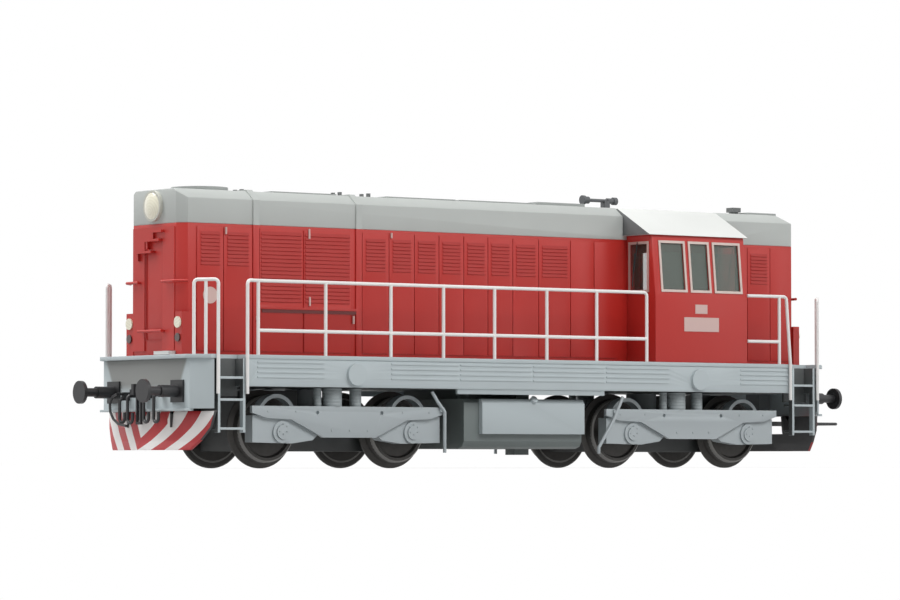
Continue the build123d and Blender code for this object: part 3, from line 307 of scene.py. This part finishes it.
def place(shape, name, body, finish):
    """Turns a finished shape into a piece that rides on a body."""
    mesh = bpy.data.meshes.new(name)
    shape.to_mesh(mesh)
    shape.free()
    mesh.shade_smooth()
    mesh.set_sharp_from_angle(angle=SHARP)
    mesh.materials.append(finish.material)
    piece = bpy.data.objects.new(name, mesh)
    bpy.context.scene.collection.objects.link(piece)
    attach(piece, body)
    return piece


def soften(node, finish, edge):
    """A copy of a CAD piece with the rounded edges a mould gives, standing for it."""
    source = frame["nodes"][node]
    shape = bmesh.new()
    shape.from_mesh(source.data)
    bmesh.ops.remove_doubles(shape, verts=shape.verts, dist=MERGE)
    bmesh.ops.dissolve_limit(shape, angle_limit=FLAT, verts=shape.verts, edges=shape.edges)
    edges = [e for e in shape.edges if e.is_manifold and e.calc_face_angle(0.0) > SHARP]
    bmesh.ops.bevel(shape, geom=edges, offset=edge, offset_type="OFFSET", segments=2, profile=0.5,
                    affect="EDGES", clamp_overlap=True, material=-1)
    bmesh.ops.remove_doubles(shape, verts=shape.verts, dist=MERGE / 10)
    bmesh.ops.recalc_face_normals(shape, faces=shape.faces)
    piece = place(shape, f"{node}_moulded", source["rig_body"], finish)
    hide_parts(node)
    return piece


def coat(node, finish):
    """Gives a CAD piece that stays as it is its finish."""
    materials = frame["nodes"][node].data.materials
    materials.clear()
    materials.append(finish.material)


casting = moulding("painted_casting", paint(112, 116, 118), roughness=0.55, grain=0.25 * MM, depth=3e-6)
for node in ("underframe", "pivot_pins", "coupling_bracket"):
    coat(node, casting)


# The walkway, headstocks, sills and ladders: one bluish grey moulding that clips over the underframe.
# The walkway has a chequered tread; the plates below it are smooth.
FRAME_GREY = paint(181, 191, 194)
TREAD_PITCH = 0.62 * MM
RIDGE_WIDTH = 0.11         # half of a ridge's width, as a share of the pitch
RIDGE_GAP = 0.2            # a ridge stops this far from the middle of one that crosses it
TREAD_DEPTH = 0.03 * MM
TREAD_SKIN = 0.02 * MM     # only what is this close to the walkway's top has a tread
FACING = 0.9               # how much of an axis a face's normal has when the face looks along it


def second_finish(piece, finish, wanted):
    """Paints the faces that a test on their normal and middle picks with another finish."""
    piece.data.materials.append(finish.material)
    for face in piece.data.polygons:
        if wanted(face.normal, face.center):
            face.material_index = 1


frame_grey = moulding("frame_grey", FRAME_GREY, roughness=0.48)
walkway = moulding("walkway_grey", FRAME_GREY, roughness=0.5)
along, across = walkway.axis("X"), walkway.axis("Y")
ridge_one = abs(((along + across) / TREAD_PITCH).fraction() - 0.5)
ridge_two = abs(((along - across) / TREAD_PITCH).fraction() - 0.5)
tread = ((ridge_one < RIDGE_WIDTH) * (ridge_two > RIDGE_GAP)
         + (ridge_two < RIDGE_WIDTH) * (ridge_one > RIDGE_GAP))
walkway.relief(tread * (walkway.axis("Z") > (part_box("deck")[1].z - TREAD_SKIN)), TREAD_DEPTH)
soften("deck", walkway, edge=0.06 * MM)
for node in ("side_sill_left", "side_sill_right"):
    soften(node, frame_grey, edge=0.05 * MM)
# the headstocks' faces are painted darker between the buffers, under the walkway's lip: a painted shadow of
# the lip, narrower lower down
LIP_SHADOW_GREY = paint(132, 134, 132)
LIP_SHADOW_HEIGHTS = (1020, 1180)             # no painted shadow below the first, all of it above the second
LIP_SHADOW_WIDTHS = (1100, 1180)              # all of it inside the first, none outside the second
LIP_SHADOW_TOP = 1590                         # the widths hold here, and shrink below it
LIP_SHADOW_NARROWS = 0.5                      # by this much for each millimetre of the drop
HEADSTOCK_FACE = 6080
headstock_grey = moulding("headstock_grey", FRAME_GREY, roughness=0.5)
height = headstock_grey.axis("Z")
lip_shadow_low = headstock_grey.node(
    "ShaderNodeMapRange", {"interpolation_type": "SMOOTHSTEP"},
    {"Value": height, "From Min": up(LIP_SHADOW_HEIGHTS[0]), "From Max": up(LIP_SHADOW_HEIGHTS[1])})
lip_shadow_side = headstock_grey.node(
    "ShaderNodeMapRange", {"interpolation_type": "SMOOTHSTEP"},
    {"Value": abs(headstock_grey.axis("Y")) + LIP_SHADOW_NARROWS * (up(LIP_SHADOW_TOP) - height),
     "From Min": full(LIP_SHADOW_WIDTHS[0]), "From Max": full(LIP_SHADOW_WIDTHS[1]), "To Min": 1.0, "To Max": 0.0})
on_face = abs(headstock_grey.axis("X")) > full(HEADSTOCK_FACE)
headstock_grey.set(Base_Color=headstock_grey.between(lip_shadow_low * lip_shadow_side * on_face, FRAME_GREY, LIP_SHADOW_GREY))
for node in ("headstock_front", "headstock_rear"):
    soften(node, headstock_grey, edge=0.05 * MM)
# the ladder wells are painted dark inside, behind the grey stringers and treads: a painted shade in the
# recess
WELL_BACK = full(1235)
STRINGER_INSIDE = full(1345)
well_shade = moulding("well_shade", paint(72, 75, 75), roughness=0.6)


def in_well(normal, middle):
    """The back of a ladder's well, and its two walls as far out as the stringers."""
    depth = abs(middle.y)
    return depth < WELL_BACK or abs(normal.x) > FACING and depth < STRINGER_INSIDE


second_finish(soften("ladders", frame_grey, edge=0.03 * MM), well_shade, in_well)


# The hoods and the cab below the grey band: hollow red mouldings with a satin coat, which clip onto the
# walkway. The doors with their louvres are moulded on, and the lamps' housings are pushed in.
RED = paint(180, 46, 40)
SLAT_SLOPE = 0.15          # a slat's upper side looks up by at least this much
red = moulding("red_moulding", RED, roughness=0.42, grain=0.1 * MM, depth=1e-6, variety=0.04)
for node in ("long_hood", "short_hood", "cab"):
    soften(node, red, edge=0.09 * MM)
for node in ("marker_lamps", "hood_fittings_front", "hood_fittings_rear"):
    coat(node, red)
# the slats' upper sides are painted a darker red, a painted shade between the slats, so that the louvres
# read softly
shade_red = moulding("shade_red", paint(166, 43, 38), roughness=0.55)
for node in ("hood_doors_left", "hood_doors_right"):
    second_finish(soften(node, red, edge=0.015 * MM), shade_red,
                  lambda normal, middle: normal.z > SLAT_SLOPE)


# The roofs and the band under them: light grey mouldings set on the red ones, the cab's and the hatches
# off-white. The cab roof's gables and the hatches' sides are a painted shade in darker grey; the lifting
# lugs are painted darker.
BAND_GREY = paint(179, 183, 180)
ROOF_WHITE = paint(214, 216, 213)
HATCH_SIDE = 0.5           # a hatch's side looks up or down by less than this
band_grey = moulding("band_grey", BAND_GREY, roughness=0.46)
roof_white = moulding("roof_white", ROOF_WHITE, roughness=0.5)
for node in ("long_hood_roof", "short_hood_roof"):
    soften(node, band_grey, edge=0.12 * MM)
# the gables are painted dark grey: a painted shade under the roof's eaves
gable_shade_grey = moulding("gable_shade_grey", paint(98, 100, 100), roughness=0.6)
second_finish(soften("cab_roof", roof_white, edge=0.05 * MM), gable_shade_grey,
              lambda normal, middle: abs(normal.x) > FACING)
coat("roof_joint_strips", band_grey)
rim_cream = moulding("rim_cream", paint(196, 196, 186), roughness=0.4)
coat("headlamp_rims", rim_cream)
hatch_white = moulding("hatch_white", paint(236, 238, 235), roughness=0.5)
# the upright sides of the hatches and the fan grille: a painted shade in mid grey
hatch_side_shade = moulding("hatch_side_shade", paint(158, 162, 160), roughness=0.55)
for node in ("roof_hatches", "fan_grille"):
    second_finish(soften(node, hatch_white, edge=0.03 * MM), hatch_side_shade,
                  lambda normal, middle: abs(normal.z) < HATCH_SIDE)
lug_grey = moulding("lug_grey", paint(104, 106, 106), roughness=0.55)
coat("roof_lugs_and_vent", lug_grey)


# The windows: clear moulded panes pushed into the cab from inside, in frames printed silver. The side
# panes are made less clear than those at the ends, a painted reflection of the room they mirror.
SILVER = paint(206, 188, 180)
SILVER_DULL = paint(188, 170, 163)
GLASS_TINT = paint(100, 111, 103)
SIDE_PANES = full(1300)    # they lie outside this, the end panes inside
END_PANE_ALPHA = 0.16
SIDE_PANE_ALPHA = 0.44     # on top of the end panes'
UNEVEN_ALPHA = 0.08
silver = Finish("printed_silver")
silver.set(Base_Color=silver.between(silver.noise(1.5 * MM), SILVER, SILVER_DULL), Metallic=0.2,
           Roughness=0.3 + 0.1 * silver.noise(0.4 * MM))
coat("window_frames", silver)
pane = Finish("clear_pane")
# the side panes' extra cover is a painted reflection
side_pane = abs(pane.axis("Y")) > SIDE_PANES
pane.set(Base_Color=GLASS_TINT, Roughness=0.06, IOR=1.45,
         Alpha=END_PANE_ALPHA + SIDE_PANE_ALPHA * side_pane + UNEVEN_ALPHA * pane.noise(4 * MM))
coat("cab_glazing", pane)


# The wipers: an arm and a blade at each of the cab's end windows, etched from thin sheet, blackened and
# glued on just clear of the pane.
CAB_FRONT, CAB_REAR = 2480, 4387
WIPER_OFF = 45
WIPER_RADIUS = 9
# y and z of the ends of an arm and of a blade, full size
WIPER_LINES = [((1030, 3500), (935, 3010)), ((960, 3330), (905, 2800))]
SIDES = (-1, 1)


def rods(table, radius, finish, name, body="chassis", segments=10):
    """Round bars in one piece, each between two points in full-size millimetres, z from the rail head."""
    shape = bmesh.new()
    for ends in table:
        start, stop = (Vector((full(x), full(y), up(z))) for x, y, z in ends)
        turn = (stop - start).to_track_quat("Z", "Y").to_matrix().to_4x4()
        bmesh.ops.create_cone(shape, cap_ends=True, segments=segments, radius1=full(radius),
                              radius2=full(radius), depth=(stop - start).length,
                              matrix=Matrix.Translation((start + stop) / 2) @ turn)
    return place(shape, name, body, finish)


wiper_black = moulding("wiper_black", paint(34, 34, 36), roughness=0.4)
wipers = [[(x, side * y, z) for y, z in line]
          for x in (CAB_FRONT - WIPER_OFF, CAB_REAR + WIPER_OFF) for side in SIDES for line in WIPER_LINES]
rods(wipers, WIPER_RADIUS, wiper_black, "wipers", segments=6)


# Inside the cab and under the hood: the floor, desk and seats in one pale green moulding, and the motor
# with its weight, one dull metal block screwed to the underframe.
interior = moulding("interior_green", paint(120, 136, 126), roughness=0.6)
coat("cab_interior", interior)
motor_steel = moulding("motor_steel", paint(130, 130, 132), roughness=0.4, grain=0.3 * MM, depth=3e-6)
coat("motor_block", motor_steel)


# The lamps' lenses: clear ringed mouldings over a cream reflector, pushed into the housings. The lower
# marker lamps are unlit red, nearly black.
LENS_CREAM = paint(242, 238, 216)
LENS_SHADE = paint(216, 210, 186)
LENS_RED = paint(74, 44, 42)
TAIL_LAMP = (up(1760), up(1945))
HEADLAMP_HEIGHT = up(3730)
RING_PITCH = 0.5 * MM
lens = Finish("lens_cream")
across, height = lens.axis("Y"), lens.axis("Z")
tail_lamp = (height > TAIL_LAMP[0]) * (height < TAIL_LAMP[1])
from_middle = (across * across + (height - HEADLAMP_HEIGHT) ** 2) ** 0.5
rings = abs((from_middle / RING_PITCH).fraction() - 0.5)
lens.set(Base_Color=lens.between(tail_lamp, lens.between(rings, LENS_CREAM, LENS_SHADE), LENS_RED),
         Roughness=0.12, Coat_Weight=0.6)
coat("lamp_lenses", lens)


# The horns, the buffers, hooks, hoses and the loop coupling: dark mouldings and blackened metal, pushed
# into holes in the roof and the headstocks.
CHARCOAL = paint(38, 38, 40)
charcoal = moulding("charcoal", CHARCOAL, roughness=0.42, grain=0.2 * MM, depth=2e-6)
horn_grey = moulding("horn_grey", paint(84, 86, 88), roughness=0.45)
for node in ("buffers", "draw_hooks", "brake_hoses", "loop_coupling"):
    coat(node, charcoal)
coat("horns", horn_grey)
# the longest air hose at the front hangs in a wide moulded loop, clear of the plough: y and z along it
LONG_HOSE = [(463, 1023), (603, 980), (673, 876), (659, 757), (575, 651), (435, 576), (212, 544)]
LONG_HOSE_X = -6350
LONG_HOSE_ROOT_X = -6240   # in the headstock
LONG_HOSE_RADIUS = 20
hose_line = [(LONG_HOSE_ROOT_X, *LONG_HOSE[0])] + [(LONG_HOSE_X, y, z) for y, z in LONG_HOSE]
rods(zip(hose_line, hose_line[1:]), LONG_HOSE_RADIUS, charcoal, "long_hose")


# The handrails: long thin mouldings in white nylon, with its faint gloss. They spring into holes in the
# walkway's edge and need no glue.
RAIL_WHITE = paint(236, 234, 232)
rail_white = moulding("rail_white", RAIL_WHITE, roughness=0.4)
for node in ("handrails_left", "handrails_right"):
    coat(node, rail_white)


# The fuel tank and the bogies: grey mouldings, the tank light on its side panels and painted dark
# elsewhere, a painted shade under the walkway. The bogies' side frames carry moulded springs, axle boxes
# and sand pipes, round a dark gear housing.
TANK_SHADE_GREY = paint(112, 120, 119)
TANK_PANEL = paint(182, 192, 195)
TANK_FACE = full(1222)     # the side panels lie outside this
COIL_PITCH = 0.55 * MM
COIL_DEPTH = 0.12 * MM
tank_grey = moulding("tank_grey", TANK_SHADE_GREY, roughness=0.5)
# apart from its side panels the tank is painted dark grey: a painted shade
on_panel = abs(tank_grey.axis("Y")) > TANK_FACE
tank_grey.set(Base_Color=tank_grey.between(on_panel, TANK_SHADE_GREY, TANK_PANEL))
soften("fuel_tank", tank_grey, edge=0.12 * MM)
bogie_grey = moulding("bogie_grey", paint(172, 180, 183), roughness=0.5)
coil_grey = moulding("coil_grey", paint(150, 158, 160), roughness=0.5)
coil_grey.relief(abs((coil_grey.axis("Z") / COIL_PITCH).fraction() - 0.5), COIL_DEPTH)
gear_dark = moulding("gear_dark", paint(82, 84, 84), roughness=0.5)
for end in ("front", "rear"):
    soften(f"bogie_frame_{end}", bogie_grey, edge=0.06 * MM)
    coat(f"bogie_springs_{end}", coil_grey)
    for node in (f"axle_boxes_{end}", f"sand_pipes_{end}"):
        coat(node, bogie_grey)
    coat(f"gear_housing_{end}", gear_dark)


# The wheelsets: metal wheels turned on a lathe and pressed on their axles. They are blackened, and
# bright on the treads where they run.
PIVOT_X = 3350
HALF_WHEELBASE = 1200
WHEEL_RADIUS = 500
BRIGHT_BAND = (0.3 * MM, 0.02 * MM)     # how far the bright ring reaches inside and outside the tread
LATHE_PITCH = 0.09 * MM
LATHE_DEPTH = 3e-6
wheel_steel = Finish("wheel_steel")
from_axle = abs(abs(abs(wheel_steel.axis("X")) - full(PIVOT_X)) - full(HALF_WHEELBASE))
rise = wheel_steel.axis("Z") - (RAIL_HEAD + full(WHEEL_RADIUS))
radius = (from_axle * from_axle + rise * rise) ** 0.5
bright = ((radius > (full(WHEEL_RADIUS) - BRIGHT_BAND[0]))
          * (radius < (full(WHEEL_RADIUS) + BRIGHT_BAND[1])))
dark_steel = wheel_steel.between(wheel_steel.noise(1.2 * MM), paint(60, 58, 56), paint(80, 78, 75))
wheel_steel.set(Base_Color=wheel_steel.between(bright, dark_steel, paint(136, 134, 131)), Metallic=0.25,
                Roughness=0.55 - 0.1 * bright)
wheel_steel.relief((radius / LATHE_PITCH).fraction(), LATHE_DEPTH)
for number in range(1, 5):
    coat(f"wheelset_{number}", wheel_steel)


# The snow ploughs: curved blades screwed below the headstocks, painted dark grey behind, a painted shade.
# Slanting red and white stripes are printed on them and follow their curve.
STRIPE_PITCH = full(550)
STRIPE_SLANT = 2.14        # at the blade's foot; the stripes stand up straighter towards its head
STRIPE_STRAIGHTENS = 0.00109 / full(1)
STRIPE_START = 0.66
STRIPES_BEFORE = 10        # keeps the count of the stripes above zero
BLADE_FRONT = 0.05         # the painted side looks outwards by at least this much
BLADE_EDGE = 0.7           # the upper and lower edges look up or down by at least this much
plough_stripes = Finish("plough_stripes")
across, rise = plough_stripes.axis("Y"), plough_stripes.axis("Z") - RAIL_HEAD
slant = (abs(across) - STRIPE_SLANT * rise + STRIPE_STRAIGHTENS * rise * rise) / STRIPE_PITCH
stripe = (slant + STRIPES_BEFORE + STRIPE_START).fraction() > 0.5
plough_stripes.set(Base_Color=plough_stripes.between(stripe, paint(232, 228, 226), paint(170, 42, 46)),
                   Roughness=0.4 + 0.1 * plough_stripes.noise(1.5 * MM))
# the blades' backs: a painted shade in dark grey
plough_back_shade = moulding("plough_back_shade", paint(60, 60, 61), roughness=0.6)
for end, outward in (("front", -1), ("rear", 1)):
    second_finish(soften(f"snow_plough_{end}", plough_stripes, edge=0.05 * MM), plough_back_shade,
                  lambda normal, middle: normal.x * outward < BLADE_FRONT and abs(normal.z) < BLADE_EDGE)


# What is glued to the bodywork: door handles and hinges, a dark red strip under the shutters' ledge that is
# a painted shadow, blank plates, and the frame of the door in the hood's nose with its step. All are
# separate small mouldings.
HOOD_SIDE = 715
CAB_SIDE = 1430
HANDLE_OFF = 32            # a handle's middle stands this far off the hood's side
HANDLE_RADIUS = 16
# x, and z from and to, of each handle or hinge on the hood's doors
HANDLES = [(-3710, 3370, 3520), (-3700, 2360, 2495), (-2890, 2105, 2225),
           (-4660, 2130, 2190), (-5215, 3395, 3500), (-2180, 3430, 3510)]
# x from, x to, z from, z to of the painted shadow under the shutters, and of each blank plate on the cab's
# side
SHUTTER_SHADOW = (-4565, -2840, 2245, 2310)
SHUTTER_SHADOW_OFF = 30
PLATES = [(3295, 3545, 2370, 2515), (3065, 3785, 2085, 2310)]
PLATE_OFF = 8
# x, z and radius of the blank round plate near the front
ROUND_PLATE = (-5490, 2482, 125)
ROUND_PLATE_OFF = 28
ROUND_PLATE_ROOT = 5
# the door in the hood's nose: y and z of its raised frame, and the boxed step on the deck before it
NOSE = -5998
NOSE_DOOR = (-235, 205, 1820, 3380)
NOSE_FRAME_OFF = 14
UPRIGHT = (16, 4)          # how far an upright reaches outside and inside the door's edge
CROSSPIECE = (8, 10)       # the same for the frame's head and foot
NOSE_STEP = (-6130, -6010, -600, -190, 1598, 1650)


def blocks(table, finish, name):
    """Boxes in one piece: from and to in x, y and z, in full-size millimetres, z above the rail head."""
    shape = bmesh.new()
    for x_from, x_to, y_from, y_to, z_from, z_to in table:
        centre = Vector((full(x_from + x_to) / 2, full(y_from + y_to) / 2, up((z_from + z_to) / 2)))
        size = (full(x_to - x_from), full(abs(y_to - y_from)), full(z_to - z_from), 1)
        bmesh.ops.create_cube(shape, size=1, matrix=Matrix.Translation(centre) @ Matrix.Diagonal(size))
    return place(shape, name, "chassis", finish)


def stub(x, z, side, face, off, root):
    """The ends of a short rod that is rooted in a side face and stands out of it."""
    return (x, side * (face - root), z), (x, side * (face + off), z)


fitting_cream = moulding("fitting_cream", paint(206, 176, 170), roughness=0.4)
shutter_shadow_red = moulding("shutter_shadow_red", paint(96, 34, 32), roughness=0.5)
# the handles and hinges are coloured pale cream: a painted highlight along them
rods([((x, side * (HOOD_SIDE + HANDLE_OFF), z_from), (x, side * (HOOD_SIDE + HANDLE_OFF), z_to))
      for x, z_from, z_to in HANDLES for side in SIDES],
     HANDLE_RADIUS, fitting_cream, "door_handles")
# a dark red strip under the shutters' ledge: a painted shadow
x_from, x_to, z_from, z_to = SHUTTER_SHADOW
blocks([(x_from, x_to, side * HOOD_SIDE, side * (HOOD_SIDE + SHUTTER_SHADOW_OFF), z_from, z_to) for side in SIDES],
       shutter_shadow_red, "shutter_shadows")
blocks([(x_from, x_to, side * CAB_SIDE, side * (CAB_SIDE + PLATE_OFF), z_from, z_to)
        for x_from, x_to, z_from, z_to in PLATES for side in SIDES],
       fitting_cream, "cab_plates")
x, z, radius = ROUND_PLATE
rods([stub(x, z, side, HOOD_SIDE, ROUND_PLATE_OFF, ROUND_PLATE_ROOT) for side in SIDES],
     radius, fitting_cream, "round_plates", segments=32)
y_from, y_to, z_from, z_to = NOSE_DOOR
nose_frame = [(y_from - UPRIGHT[0], y_from + UPRIGHT[1], z_from, z_to),
              (y_to - UPRIGHT[1], y_to + UPRIGHT[0], z_from, z_to),
              (y_from, y_to, z_to - CROSSPIECE[1], z_to + CROSSPIECE[0]),
              (y_from, y_to, z_from - CROSSPIECE[0], z_from + CROSSPIECE[1])]
# the door's frame is in the same darker red: a painted shade round the door
blocks([(NOSE - NOSE_FRAME_OFF, NOSE, *bar) for bar in nose_frame],
       shade_red, "nose_door_frame")
step_white = moulding("step_white", paint(214, 214, 212), roughness=0.5)
blocks([NOSE_STEP], step_white, "nose_step")


# The bolts on the bogies: small six-sided heads, moulded with the side frames they sit on, in a row
# along each frame and in a ring on each axle box's cover.
FRAME_FACE = 1300
FRAME_BOLT_RADIUS = 15
FRAME_BOLT_OFF = 10
# x and z of the bolt heads on each side frame, from the bogie's middle and the rail head
FRAME_BOLTS = [(-1480, 760), (-980, 760), (-330, 480), (0, 480), (330, 480), (980, 760), (1480, 760)]
COVER_FACE = 1290
COVER_BOLT_RADIUS = 10
COVER_BOLT_OFF = 12
COVER_RING = 75
BOLT_ROOT = 8
cover_ring = [(COVER_RING * math.cos(turn), COVER_RING * math.sin(turn))
              for turn in (math.radians(30 + 60 * step) for step in range(6))]
for end, outward in (("front", -1), ("rear", 1)):
    middle = outward * PIVOT_X
    rods([stub(middle + x, z, side, FRAME_FACE, FRAME_BOLT_OFF, BOLT_ROOT)
          for x, z in FRAME_BOLTS for side in SIDES],
         FRAME_BOLT_RADIUS, bogie_grey, f"frame_bolts_{end}",
         body=f"bogie_{end}", segments=6)
    rods([stub(middle + axle + x, WHEEL_RADIUS + z, side, COVER_FACE, COVER_BOLT_OFF, BOLT_ROOT)
          for axle in (-HALF_WHEELBASE, HALF_WHEELBASE) for side in SIDES for x, z in cover_ring],
         COVER_BOLT_RADIUS, bogie_grey, f"cover_bolts_{end}",
         body=f"bogie_{end}", segments=6)
